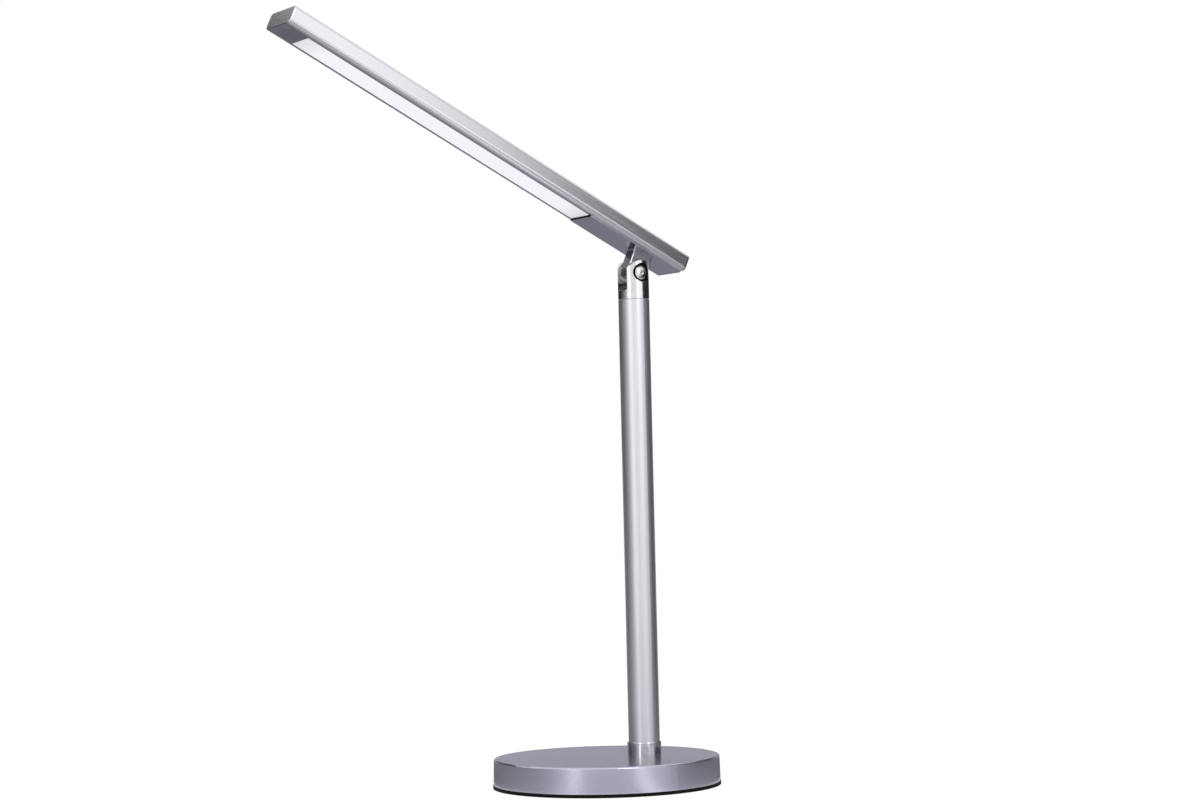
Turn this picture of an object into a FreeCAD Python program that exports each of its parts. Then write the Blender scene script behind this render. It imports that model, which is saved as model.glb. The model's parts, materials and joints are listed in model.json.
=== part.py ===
import FreeCAD, Part
import math
import os
import Sketcher

# LED table lamp: a round weighted base, a pole behind its centre, and a slim light bar
# that tilts in a fork on the pole's top. Millimetres, Z up, origin under the base's centre.
# The bar points towards -Y and its tilt axis lies along X.

driving = {
    # Clearances and cuts
    "overrun": 1.0,               # how far a cut runs past the face that it opens
    "close_gap": 0.05,            # radial play of a screw, plug or sleeve in its bore
    "slide_gap": 0.1,             # play of a strip in its groove, and of loose holes
    # Foot pad and base cover
    "pad_thick": 2.2,
    "pad_rim": 0.3,               # how far the pad stands out past the cover's lower edge
    "base_radius": 75.0,          # at the top
    "base_flare": 0.4,            # extra radius at the bottom
    "base_wall": 2.0,
    "base_edge_radius": 1.1,
    "lead_room": 4.5,             # height for the leads, between the plate and the nipple
    "socket_headroom": 2.0,
    # Base plate, its screws and the cover's bosses
    "plate_thick": 1.5,
    "boss_inset": 15.0,           # boss centres from the inside of the cover's wall
    "boss_radius": 4.0,
    "plate_screw_radius": 1.5,
    "plate_screw_grip": 7.0,      # thread length inside the boss
    "plate_screw_head_radius": 2.9,
    "plate_sink_share": 0.8,      # countersink depth in the plate's thickness
    # Ballast
    "weight_thick": 9.0,
    "weight_gap": 2.0,            # room between the ballast and the cover's wall
    "weight_hole_gap": 0.6,       # room round a boss
    "window_gap": 4.0,            # room round the electrics in the ballast's window
    "rib_inset": 11.0,            # ring rib that presses on the ballast, from the cover's wall
    "rib_thick": 2.0,
    # Touch dimmer board, hung from the cover
    "board_width": 44.0,
    "board_length": 42.0,
    "board_thick": 1.6,
    "board_gap": 0.9,             # from the base plate to the tallest component
    "board_back_gap": 6.0,        # from the board to the pole's washer
    "post_radius": 3.0,
    "post_inset": 4.0,            # post centre from the board's edge
    "board_screw_radius": 1.25,
    "board_screw_grip": 4.0,
    "board_screw_head_radius": 2.3,
    "board_screw_head_height": 1.5,
    "leaf_thick": 0.4,
    "leaf_length": 5.0,
    "leaf_width": 3.0,
    "choke_radius": 4.0,
    "choke_height": 4.2,
    "capacitor_radius": 3.0,
    "capacitor_height": 5.0,
    "chip_side": 6.0,
    "chip_height": 1.6,
    "plug_width": 6.0,
    "plug_length": 7.0,
    "plug_height": 5.0,
    # Places on the board, as shares of its width and length from its middle
    "choke_x_share": -0.22,
    "choke_y_share": 0.18,
    "capacitor_x_share": -0.24,
    "capacitor_y_share": -0.2,
    "chip_x_share": 0.1,
    "chip_y_share": -0.05,
    "supply_plug_x_share": 0.32,
    "touch_y_share": -0.3,
    # Power inlet
    "socket_width": 9.0,
    "socket_length": 14.0,
    "socket_height": 11.0,
    "socket_roof": 1.3,           # wall above the bore
    "socket_bore_radius": 3.2,
    "socket_bore_depth": 9.5,
    "socket_pin_radius": 1.0,
    "socket_pin_set_back": 1.0,   # pin's end from the socket's mouth
    "socket_back_gap": 0.3,       # from the socket's corners to the cover's wall
    "inlet_gap": 0.8,             # cover's hole, round the socket's bore
    "channel_gap": 3.0,           # ballast channel beside the socket
    # Pole and its clamp
    "pole_offset": 32.0,          # behind the base's centre
    "pole_radius": 10.5,
    "pole_wall": 1.5,
    "pole_length": 305.4,
    "pole_end_chamfer": 0.3,
    "collar_wall": 0.95,
    "collar_height": 7.5,
    "collar_edge_radius": 0.5,
    "clamp_plug_length": 25.0,
    "nipple_radius": 5.0,
    "nipple_bore_radius": 3.0,
    "nipple_grip": 20.0,          # thread length inside the plug
    "nipple_tail": 2.5,           # thread below the nut
    "washer_radius": 13.0,
    "washer_thick": 1.5,
    "nut_flats": 14.0,
    "nut_thick": 5.0,
    "hex_corner_share": 1 / math.sqrt(3),   # corner radius of a hexagon from its flats
    # Fork
    "fork_rise": 17.9,            # tilt axis above the pole's end
    "fork_slot_depth": 12.1,      # slot floor below the tilt axis
    "fork_slot_corner": 1.5,
    "fork_crest": 8.2,            # top of the ears above the tilt axis
    "spigot_length": 20.0,
    "lead_bore_radius": 3.0,
    "spot_face_radius": 6.5,
    "spot_face_depth": 3.0,       # below the round of the ear
    # Pivot bolt, nut and washers
    "bolt_radius": 2.5,
    "bolt_head_radius": 4.6,
    "bolt_head_height": 2.2,
    "bolt_head_rim": 0.5,
    "bolt_washer_thick": 0.5,
    "sleeve_radius": 3.5,
    "sleeve_set_back": 0.4,       # sleeve's end from the slot
    "nut_floor": 0.7,             # metal between the nut's thread and its key socket
    "key_flats": 3.0,
    "key_depth": 1.5,
    "friction_radius": 7.6,
    "friction_thick": 0.5,
    "spring_thick": 0.5,
    "spring_cone": 0.3,
    # Tongue
    "tongue_thick": 8.8,
    "eye_radius": 8.2,
    "tongue_flare": 1.0,
    "tongue_edge_radius": 0.9,
    "tenon_shoulder": 0.8,
    "tenon_half_length": 3.6,
    "tenon_height": 2.0,
    "tongue_screw_radius": 2.0,
    "tongue_screw_grip": 6.0,
    "tongue_screw_head_radius": 3.5,
    "tongue_screw_head_height": 2.0,
    "tongue_screw_share": 0.35,   # screw ahead of the tilt axis, in the eye's radius
    "lead_channel_gap": 0.4,      # channel round the lead
    "lead_channel_wall": 1.3,     # from the channel to the eye's back
    # Light bar
    "tilt": 24.6,                 # degrees above level
    "head_rise": 14.9,            # underside above the tilt axis
    "head_width": 30.6,
    "head_height": 12.3,
    "head_reach": 306.0,          # tip ahead of the tilt axis
    "head_back": 30.0,            # tail behind the tilt axis
    "head_low_radius": 3.5,
    "head_top_radius": 2.4,
    "head_wall": 1.5,
    "cap_length": 5.0,
    "tip_edge_share": 0.25,       # end rounding, in the top radius
    "tail_edge_share": 0.85,
    "cap_spigot_length": 8.0,
    # Strips that slide in the bar's lower groove
    "rim_width": 1.9,             # flat rim beside the strips
    "rim_thick": 1.4,
    "strip_lip": 1.7,             # flange beyond the visible strip, each side
    "strip_flange": 1.4,
    "rail_depth": 1.2,            # rail above the groove, in from the groove's side
    "rail_thick": 1.2,
    "rear_cover_reach": 54.0,     # rear cover's front end ahead of the tilt axis
    "cover_proud": 1.0,           # rear cover below the bar's underside
    "tip_cover_length": 13.0,
    "diffuser_end_gap": 0.9,
    # Light source
    "led_board_width": 18.0,
    "led_board_thick": 1.0,
    "led_board_margin": 2.0,      # board ends inside the diffuser's ends
    "tape_thick": 0.3,
    "led_length": 3.5,
    "led_width": 2.8,
    "led_height": 0.7,
    "led_margin": 5.0,            # first LED's centre from the board's end
    "led_count": 24,
    # Leads
    "lead_radius": 0.9,
    "lead_bend": 3.0,
}

doc = FreeCAD.newDocument("table_lamp")
sheet = doc.addObject("Spreadsheet::Sheet", "Sizes")
for row, (alias, number) in enumerate(driving.items(), start=1):
    sheet.set(f"A{row}", alias)
    sheet.set(f"B{row}", str(number))
    sheet.setAlias(f"B{row}", alias)
doc.recompute()


class Size:
    """A driving dimension, or a sum of several: its value now and the formula behind it."""

    def __init__(self, value, formula):
        self.value = value
        self.formula = formula

    def joined(self, sign, other, value):
        return Size(value, f"({self.formula} {sign} {other.formula})")

    def __add__(self, other):
        return self.joined("+", other, self.value + other.value)

    def __sub__(self, other):
        return self.joined("-", other, self.value - other.value)

    def __mul__(self, other):
        other = other if isinstance(other, Size) else Size(other, str(other))
        return self.joined("*", other, self.value * other.value)

    def __truediv__(self, other):
        other = other if isinstance(other, Size) else Size(other, str(other))
        return self.joined("/", other, self.value / other.value)

    def __neg__(self):
        return Size(-self.value, f"(-1 * {self.formula})")

    def root(self):
        return Size(math.sqrt(self.value), f"sqrt({self.formula})")


class Reader:
    """Gives a driving dimension by its alias."""

    def __getattr__(self, alias):
        return Size(sheet.get(alias), f"Sizes.{alias}")


def largest(*sizes):
    formulas = "; ".join(size.formula for size in sizes)
    return Size(max(size.value for size in sizes), f"max({formulas})")


d = Reader()
zero = Size(0, "0")
tolerance = 1e-6
sub_parts = []
corners = [(sx, sy) for sx in (-1, 1) for sy in (-1, 1)]
along_y = FreeCAD.Rotation(FreeCAD.Vector(1, 0, 0), -90)
along_x = FreeCAD.Rotation(FreeCAD.Vector(0, 1, 0), 90)

# Heights of the stand, from the table up. The base is as deep as its clamp or its socket.
plate_z = d.pad_thick + d.plate_thick
clamp_height = d.lead_room + d.nipple_tail + d.nut_thick + d.washer_thick
ceiling_z = plate_z + largest(clamp_height, d.socket_height + d.socket_headroom)
top_z = ceiling_z + d.base_wall
weight_z = plate_z + d.weight_thick
washer_z = ceiling_z - d.washer_thick
nut_z = washer_z - d.nut_thick
lead_z = plate_z + d.lead_room / 2
seam_z = top_z + d.pole_length
pivot_z = seam_z + d.fork_rise
slot_floor_z = pivot_z - d.fork_slot_depth

# Radii and places in the stand
foot_radius = d.base_radius + d.base_flare
room_radius = d.base_radius - d.base_wall
boss_xy = (room_radius - d.boss_inset) / math.sqrt(2)
rib_radius = room_radius - d.rib_inset
pole_y = d.pole_offset
pole_bore = d.pole_radius - d.pole_wall
thread_bore = d.nipple_radius + d.close_gap
board_back_y = pole_y - d.washer_radius - d.board_back_gap
board_y = board_back_y - d.board_length / 2
board_z = plate_z + largest(d.choke_height, d.capacitor_height, d.plug_height) + d.board_gap
board_drop = ceiling_z - board_z - d.board_thick
post_x = d.board_width / 2 - d.post_inset
supply_x = d.board_width * d.supply_plug_x_share
window_back_y = pole_y + d.washer_radius + d.window_gap
channel_half = d.socket_width / 2 + d.channel_gap
socket_y = (room_radius * room_radius - d.socket_width * d.socket_width / 4).root() - d.socket_back_gap
inlet_z = plate_z + d.socket_height - d.socket_roof - d.socket_bore_radius
slot_half = d.tongue_thick / 2 + d.friction_thick + d.close_gap
spot_face_x = d.pole_radius - d.spot_face_depth
bolt_seat_x = spot_face_x + d.bolt_washer_thick

# Heights and places in the level bar, from the tilt axis
under_z = d.head_rise
bar_top_z = under_z + d.head_height
roof_z = bar_top_z - d.head_wall
tongue_top_z = under_z - d.cover_proud
flange_low_z = under_z + d.rim_thick + d.slide_gap
flange_top_z = flange_low_z + d.strip_flange
groove_top_z = flange_top_z + d.slide_gap
rail_top_z = groove_top_z + d.rail_thick
led_board_z = roof_z - d.tape_thick - d.led_board_thick
tail_y = d.head_back - d.cap_length
tip_y = d.cap_length - d.head_reach
tip_edge = d.head_top_radius * d.tip_edge_share
tail_edge = d.head_top_radius * d.tail_edge_share
diffuser_front_y = tip_y + d.tip_cover_length
diffuser_back_y = -d.rear_cover_reach - d.diffuser_end_gap
led_board_front_y = diffuser_front_y + d.led_board_margin
led_board_back_y = diffuser_back_y - d.led_board_margin
bar_half = d.head_width / 2
flat_half = bar_half - d.head_low_radius
open_half = flat_half - d.rim_width
strip_half = open_half - d.slide_gap
groove_half = open_half + d.strip_lip
cavity_half = bar_half - d.head_wall
tongue_screw_y = -d.eye_radius * d.tongue_screw_share
tenon_half = d.tongue_thick / 2 - d.tenon_shoulder
channel_radius = d.lead_radius + d.lead_channel_gap
channel_y = d.eye_radius - d.lead_channel_wall - channel_radius


# Placing, sketching and the usual features

def keep(thing, label):
    thing.Label = label
    sub_parts.append(thing)
    return thing


def place(thing, x=zero, y=zero, z=zero, rotation=FreeCAD.Rotation()):
    thing.Placement = FreeCAD.Placement(FreeCAD.Vector(x.value, y.value, z.value), rotation)
    for axis, size in (("x", x), ("y", y), ("z", z)):
        if size is not zero:
            thing.setExpression(f"Placement.Base.{axis}", size.formula)
    return thing


def place_in_head(thing):
    """The bar is drawn level, with the tilt axis at its origin, and then tilted."""
    base = f"create(<<vector>>; 0; {pole_y.formula}; {pivot_z.formula})"
    turn = f"create(<<rotation>>; create(<<vector>>; -1; 0; 0); {d.tilt.formula})"
    thing.setExpression("Placement", f"create(<<placement>>; {base}; {turn})")
    return thing


def new_body(label):
    return keep(doc.addObject("PartDesign::Body", label), label)


def origin_feature(body, role):
    return [item for item in body.Origin.OriginFeatures if item.Role == role][0]


def new_sketch(body, role, lift=zero):
    sketch = body.newObject("Sketcher::SketchObject", f"{body.Name}_sketch")
    sketch.AttachmentSupport = [(origin_feature(body, role), "")]
    sketch.MapMode = "FlatFace"
    if lift is not zero:
        sketch.setExpression("AttachmentOffset.Base.z", lift.formula)
    return sketch


def tie(sketch, kind, axis, index, end, size):
    """Ties one point of a sketch to a size along one axis, or to the other axis at zero."""
    if size is zero:
        sketch.addConstraint(Sketcher.Constraint("PointOnObject", index, end, axis))
        return
    number = sketch.addConstraint(Sketcher.Constraint(kind, -1, 1, index, end, size.value))
    sketch.setExpression(f"Constraints[{number}]", size.formula)


def tie_point(sketch, index, end, across, up):
    tie(sketch, "DistanceX", -2, index, end, across)
    tie(sketch, "DistanceY", -1, index, end, up)


def tie_centre(sketch, index, last, step):
    """An arc whose ends are tied needs one more size: its centre's place across its chord."""
    if abs(step[1].value - last[1].value) > abs(step[0].value - last[0].value):
        tie(sketch, "DistanceX", -2, index, 3, step[2])
    else:
        tie(sketch, "DistanceY", -1, index, 3, step[3])


def draw_outline(sketch, steps):
    """A closed outline. A step is the point that it goes to, by a line, or by an arc where a
    centre and a turn follow: 1 for anticlockwise, -1 for clockwise."""
    ends = []
    for step, last in zip(steps, steps[-1:] + steps[:-1]):
        start = FreeCAD.Vector(last[0].value, last[1].value, 0)
        stop = FreeCAD.Vector(step[0].value, step[1].value, 0)
        if len(step) == 2:
            sketch.addGeometry(Part.LineSegment(start, stop), False)
            ends.append((1, 2))
            continue
        centre = FreeCAD.Vector(step[2].value, step[3].value, 0)
        spots = (start, stop) if step[4] > 0 else (stop, start)
        angles = [math.atan2(spot.y - centre.y, spot.x - centre.x) for spot in spots]
        circle = Part.Circle(centre, FreeCAD.Vector(0, 0, 1), (start - centre).Length)
        sketch.addGeometry(Part.ArcOfCircle(circle, *angles), False)
        ends.append((1, 2) if step[4] > 0 else (2, 1))
    for index, step in enumerate(steps):
        after = (index + 1) % len(steps)
        joint = Sketcher.Constraint("Coincident", index, ends[index][1], after, ends[after][0])
        sketch.addConstraint(joint)
        tie_point(sketch, index, ends[index][1], step[0], step[1])
        if len(step) > 2:
            tie_centre(sketch, index, steps[index - 1], step)


def draw_circle(sketch, radius, across=zero, up=zero):
    centre = FreeCAD.Vector(across.value, up.value, 0)
    circle = Part.Circle(centre, FreeCAD.Vector(0, 0, 1), radius.value)
    index = sketch.addGeometry(circle, False)
    tie_point(sketch, index, 3, across, up)
    number = sketch.addConstraint(Sketcher.Constraint("Radius", index, radius.value))
    sketch.setExpression(f"Constraints[{number}]", radius.formula)


def rectangle(left, right, low, high):
    return [(left, low), (right, low), (right, high), (left, high)]


def spin(body, steps, axis="V_Axis"):
    sketch = new_sketch(body, "XZ_Plane")
    draw_outline(sketch, steps)
    turned = body.newObject("PartDesign::Revolution", f"{body.Name}_turned")
    turned.Profile = sketch
    turned.ReferenceAxis = (sketch, [axis])
    turned.Angle = 360
    return turned


def run_out(body, kind, sketch, length, both_ways, back):
    feature = body.newObject(f"PartDesign::{kind}", f"{body.Name}_{kind.lower()}")
    feature.Profile = sketch
    feature.setExpression("Length", length.formula)
    feature.SideType = "Symmetric" if both_ways else "One side"
    feature.Reversed = back
    return feature


def pad(body, sketch, length, both_ways=False, back=False):
    return run_out(body, "Pad", sketch, length, both_ways, back)


def pocket(body, sketch, length, both_ways=False, back=False):
    return run_out(body, "Pocket", sketch, length, both_ways, back)


def polar_pattern(body, features, count):
    pattern = body.newObject("PartDesign::PolarPattern", f"{body.Name}_pattern")
    pattern.Originals = features
    pattern.Axis = (origin_feature(body, "Z_Axis"), [""])
    pattern.Angle = 360
    pattern.Occurrences = count
    body.Tip = pattern


def near(number, size):
    return math.isclose(number, size.value, abs_tol=tolerance)


def round_edges(body, feature, radius, wanted):
    """Fillets the edges of a feature whose middle point passes the test."""
    doc.recompute()
    names = [
        f"Edge{number}"
        for number, edge in enumerate(feature.Shape.Edges, start=1)
        if wanted(edge.valueAt((edge.FirstParameter + edge.LastParameter) / 2))
    ]
    fillet = body.newObject("PartDesign::Fillet", f"{body.Name}_fillet")
    fillet.Base = (feature, names)
    fillet.setExpression("Radius", radius.formula)


def solid(kind, name, sizes, at):
    made = doc.addObject(kind, name)
    for side, size in sizes.items():
        made.setExpression(side, size.formula)
    return place(made, *at)


def box(name, low, size):
    return solid("Part::Box", name, dict(zip(("Length", "Width", "Height"), size)), low)


def cylinder(name, radius, height, at):
    return solid("Part::Cylinder", name, {"Radius": radius, "Height": height}, at)


def cone(name, low_radius, high_radius, height, at):
    sizes = {"Radius1": low_radius, "Radius2": high_radius, "Height": height}
    return solid("Part::Cone", name, sizes, at)


def hexagon(name, flats, height, at):
    made = solid("Part::Prism", name, {"Circumradius": flats * d.hex_corner_share, "Height": height}, at)
    made.Polygon = 6
    return made


def fuse(name, shapes):
    made = doc.addObject("Part::MultiFuse", name)
    made.Shapes = shapes
    return made


def cut_away(name, base, tools):
    made = doc.addObject("Part::Cut", name)
    made.Base = base
    made.Tool = tools[0] if len(tools) == 1 else fuse(f"{name}_tools", tools)
    return made


def group(label, shapes):
    made = doc.addObject("Part::Compound", label)
    made.Links = shapes
    return keep(made, label)


# Base

def make_foot_pad():
    pad_disc = cylinder("foot_pad", foot_radius + d.pad_rim, d.pad_thick, (zero, zero, zero))
    keep(pad_disc, "foot_pad")


def make_base_cover():
    """A shallow turned cup, mouth down, with bosses, posts and a rib under its ceiling."""
    body = new_body("base_cover")
    edge = d.base_edge_radius
    spin(body, [
        (room_radius, d.pad_thick),
        (foot_radius, d.pad_thick),
        (d.base_radius, top_z - edge),
        (d.base_radius - edge, top_z, d.base_radius - edge, top_z - edge, 1),
        (zero, top_z),
        (zero, ceiling_z),
        (room_radius, ceiling_z),
    ])
    boss = new_sketch(body, "XY_Plane", ceiling_z)
    draw_circle(boss, d.boss_radius, boss_xy, boss_xy)
    boss_pad = pad(body, boss, ceiling_z - plate_z, back=True)
    bore = new_sketch(body, "XY_Plane", plate_z)
    draw_circle(bore, d.plate_screw_radius + d.close_gap, boss_xy, boss_xy)
    bore_cut = pocket(body, bore, d.plate_screw_grip + d.overrun, back=True)
    polar_pattern(body, [boss_pad, bore_cut], len(corners))
    rib = new_sketch(body, "XY_Plane", ceiling_z)
    draw_circle(rib, rib_radius)
    draw_circle(rib, rib_radius - d.rib_thick)
    pad(body, rib, ceiling_z - weight_z, back=True)
    notch = new_sketch(body, "XY_Plane", weight_z)
    draw_outline(notch, rectangle(-channel_half, channel_half, pole_y, rib_radius + d.overrun))
    pocket(body, notch, ceiling_z - weight_z, back=True)
    for side in (-1, 1):
        post = new_sketch(body, "XY_Plane", ceiling_z)
        draw_circle(post, d.post_radius, post_x * side, board_y)
        pad(body, post, board_drop, back=True)
        post_bore = new_sketch(body, "XY_Plane", ceiling_z - board_drop)
        draw_circle(post_bore, d.board_screw_radius + d.close_gap, post_x * side, board_y)
        pocket(body, post_bore, d.board_screw_grip + d.overrun, back=True)
    nipple_hole = new_sketch(body, "XY_Plane", top_z)
    draw_circle(nipple_hole, d.nipple_radius + d.slide_gap, zero, pole_y)
    pocket(body, nipple_hole, d.base_wall + d.overrun)
    inlet = new_sketch(body, "XZ_Plane", -foot_radius - d.overrun)
    draw_circle(inlet, d.socket_bore_radius + d.inlet_gap, zero, inlet_z)
    body.Tip = pocket(body, inlet, foot_radius + d.overrun - socket_y, back=True)


def make_base_weight():
    """Cast ballast on the base plate, open round the electrics and round the bosses."""
    body = new_body("base_weight")
    disc = new_sketch(body, "XY_Plane", plate_z)
    draw_circle(disc, room_radius - d.weight_gap)
    pad(body, disc, d.weight_thick)
    window_half = d.board_width / 2 + d.window_gap
    window_front_y = board_y - d.board_length / 2 - d.window_gap
    window = new_sketch(body, "XY_Plane", weight_z)
    draw_outline(window, [
        (-window_half, window_front_y),
        (window_half, window_front_y),
        (window_half, window_back_y),
        (channel_half, window_back_y),
        (channel_half, room_radius),
        (-channel_half, room_radius),
        (-channel_half, window_back_y),
        (-window_half, window_back_y),
    ])
    pocket(body, window, d.weight_thick + d.overrun)
    hole = new_sketch(body, "XY_Plane", weight_z)
    draw_circle(hole, d.boss_radius + d.weight_hole_gap, boss_xy, boss_xy)
    polar_pattern(body, [pocket(body, hole, d.weight_thick + d.overrun)], len(corners))


def make_base_plate():
    """A sheet-metal disc with four countersunk holes, and the four screws in them."""
    low_z = d.pad_thick
    sink_depth = d.plate_thick * d.plate_sink_share
    drill = d.plate_screw_radius + d.close_gap
    sink = d.plate_screw_head_radius + d.close_gap
    disc = cylinder("plate_disc", room_radius - d.slide_gap, d.plate_thick, (zero, zero, low_z))
    cuts = []
    screws = []
    for number, (sx, sy) in enumerate(corners):
        x = boss_xy * sx
        y = boss_xy * sy
        cuts += [
            cylinder(f"plate_hole_{number}", drill, d.plate_thick + d.overrun * 2, (x, y, low_z - d.overrun)),
            cone(f"plate_sink_{number}", sink, drill, sink_depth, (x, y, low_z)),
        ]
        head = cone(f"plate_screw_head_{number}", d.plate_screw_head_radius, d.plate_screw_radius,
                    sink_depth, (x, y, low_z))
        shank = cylinder(f"plate_screw_shank_{number}", d.plate_screw_radius,
                         d.plate_thick + d.plate_screw_grip, (x, y, low_z))
        screws.append(fuse(f"plate_screw_{number}", [head, shank]))
    keep(cut_away("base_plate", disc, cuts), "base_plate")
    group("base_plate_screws", screws)


# Touch dimmer

def make_control_board():
    """The board hangs from two posts, with a screw in each."""
    low = (-d.board_width / 2, board_y - d.board_length / 2, board_z)
    slab = box("board_slab", low, (d.board_width, d.board_length, d.board_thick))
    holes = []
    screws = []
    for side in (-1, 1):
        x = post_x * side
        holes.append(cylinder(f"board_hole_{side}", d.board_screw_radius + d.close_gap,
                              d.board_thick + d.overrun * 2, (x, board_y, board_z - d.overrun)))
        head = cylinder(f"board_screw_head_{side}", d.board_screw_head_radius, d.board_screw_head_height,
                        (x, board_y, board_z - d.board_screw_head_height))
        shank = cylinder(f"board_screw_shank_{side}", d.board_screw_radius,
                         d.board_thick + d.board_screw_grip, (x, board_y, board_z))
        screws.append(fuse(f"board_screw_{side}", [head, shank]))
    keep(cut_away("control_board", slab, holes), "control_board")
    group("board_screws", screws)


def make_board_components():
    """Choke, capacitor, chip and the two lead plugs, on the board's underside."""
    choke_at = (d.board_width * d.choke_x_share, board_y + d.board_length * d.choke_y_share,
                board_z - d.choke_height)
    capacitor_at = (d.board_width * d.capacitor_x_share, board_y + d.board_length * d.capacitor_y_share,
                    board_z - d.capacitor_height)
    chip_low = (d.board_width * d.chip_x_share, board_y + d.board_length * d.chip_y_share,
                board_z - d.chip_height)
    parts = [
        cylinder("choke", d.choke_radius, d.choke_height, choke_at),
        cylinder("capacitor", d.capacitor_radius, d.capacitor_height, capacitor_at),
        box("dimmer_chip", chip_low, (d.chip_side, d.chip_side, d.chip_height)),
    ]
    for name, x in (("bar_plug", zero), ("supply_plug", supply_x)):
        low = (x - d.plug_width / 2, board_back_y - d.plug_length, board_z - d.plug_height)
        parts.append(box(name, low, (d.plug_width, d.plug_length, d.plug_height)))
    group("board_components", parts)


def make_touch_spring():
    """A bent leaf from the board to the cover, which is the touch plate."""
    body = new_body("touch_spring")
    thick = d.leaf_thick
    foot_y = board_y + d.board_length * d.touch_y_share
    bend_y = foot_y + d.leaf_length
    low_z = board_z + d.board_thick
    high_z = low_z + board_drop
    side = new_sketch(body, "YZ_Plane")
    draw_outline(side, [
        (foot_y, low_z),
        (bend_y, low_z),
        (bend_y, high_z),
        (foot_y, high_z),
        (foot_y, high_z - thick),
        (bend_y - thick, high_z - thick),
        (bend_y - thick, low_z + thick),
        (foot_y, low_z + thick),
    ])
    body.Tip = pad(body, side, d.leaf_width, both_ways=True)


# Power inlet

def make_dc_socket():
    """A barrel socket behind the cover's hole, with its centre pin."""
    low = (-d.socket_width / 2, socket_y - d.socket_length, plate_z)
    block = box("socket_block", low, (d.socket_width, d.socket_length, d.socket_height))
    bore_end = (zero, socket_y - d.socket_bore_depth, inlet_z, along_y)
    bore = cylinder("socket_bore", d.socket_bore_radius, d.socket_bore_depth + d.overrun, bore_end)
    keep(cut_away("dc_socket", block, [bore]), "dc_socket")
    pin_length = d.socket_bore_depth - d.socket_pin_set_back
    keep(cylinder("dc_socket_pin", d.socket_pin_radius, pin_length, bore_end), "dc_socket_pin")


# Pole

def make_turned(label, steps, z=zero):
    body = new_body(label)
    spin(body, steps)
    place(body, y=pole_y, z=z)


def make_pole():
    bevel = d.pole_end_chamfer
    make_turned("pole", [
        (pole_bore, zero),
        (d.pole_radius, zero),
        (d.pole_radius, d.pole_length - bevel),
        (d.pole_radius - bevel, d.pole_length),
        (pole_bore, d.pole_length),
    ], top_z)


def make_pole_collar():
    inner = d.pole_radius + d.close_gap
    outer = inner + d.collar_wall
    edge = d.collar_edge_radius
    make_turned("pole_collar", [
        (inner, zero),
        (outer, zero),
        (outer, d.collar_height - edge),
        (outer - edge, d.collar_height, outer - edge, d.collar_height - edge, 1),
        (inner, d.collar_height),
    ], top_z)


def make_pole_clamp():
    """A plug in the tube's end, and a hollow threaded nipple drawn down by a nut in the base."""
    make_turned("pole_plug", rectangle(thread_bore, pole_bore - d.close_gap, zero, d.clamp_plug_length), top_z)
    make_turned("threaded_nipple", rectangle(d.nipple_bore_radius, d.nipple_radius, nut_z - d.nipple_tail,
                                             top_z + d.nipple_grip))
    make_turned("pole_washer", rectangle(thread_bore, d.washer_radius, washer_z, ceiling_z))
    blank = hexagon("nut_blank", d.nut_flats, d.nut_thick, (zero, pole_y, nut_z))
    thread = cylinder("nut_thread", thread_bore, d.nut_thick + d.overrun * 2, (zero, pole_y, nut_z - d.overrun))
    keep(cut_away("pole_nut", blank, [thread]), "pole_nut")


# Hinge

def make_hinge_fork():
    """Turned with its spigot, then the ears are rounded, slotted, spot-faced and drilled."""
    body = new_body("hinge_fork")
    radius = d.pole_radius
    bevel = d.pole_end_chamfer
    seam = -d.fork_rise
    spigot = pole_bore - d.close_gap
    spin(body, [
        (d.lead_bore_radius, seam - d.spigot_length),
        (spigot, seam - d.spigot_length),
        (spigot, seam),
        (radius - bevel, seam),
        (radius, seam + bevel),
        (radius, d.fork_crest),
        (d.lead_bore_radius, d.fork_crest),
    ])
    arch_z = d.fork_crest - radius
    wide = radius + d.overrun
    over = d.fork_crest + d.overrun
    arch = new_sketch(body, "YZ_Plane")
    draw_outline(arch, [
        (-wide, arch_z),
        (-radius, arch_z),
        (radius, arch_z, zero, arch_z, -1),
        (wide, arch_z),
        (wide, over),
        (-wide, over),
    ])
    pocket(body, arch, wide * 2, both_ways=True)
    floor = -d.fork_slot_depth
    corner = d.fork_slot_corner
    slot = new_sketch(body, "XZ_Plane")
    draw_outline(slot, [
        (corner - slot_half, floor, corner - slot_half, floor + corner, 1),
        (slot_half - corner, floor),
        (slot_half, floor + corner, slot_half - corner, floor + corner, 1),
        (slot_half, over),
        (-slot_half, over),
        (-slot_half, floor + corner),
    ])
    pocket(body, slot, wide * 2, both_ways=True)
    for side in (-1, 1):
        spot_face = new_sketch(body, "YZ_Plane", spot_face_x * side)
        draw_circle(spot_face, d.spot_face_radius)
        pocket(body, spot_face, d.spot_face_depth + d.overrun, back=side > 0)
    bolt_hole = new_sketch(body, "YZ_Plane")
    draw_circle(bolt_hole, d.bolt_radius + d.close_gap)
    pocket(body, bolt_hole, wide, back=True)
    sleeve_hole = new_sketch(body, "YZ_Plane")
    draw_circle(sleeve_hole, d.sleeve_radius + d.close_gap)
    body.Tip = pocket(body, sleeve_hole, wide)
    place(body, y=pole_y, z=pivot_z)


def head_dome_radius():
    """Sphere of the bolt's and nut's domed heads, from the heads' radius and crown."""
    crown = d.bolt_head_height - d.bolt_head_rim
    return (d.bolt_head_radius * d.bolt_head_radius + crown * crown) / (crown * 2)


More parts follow.
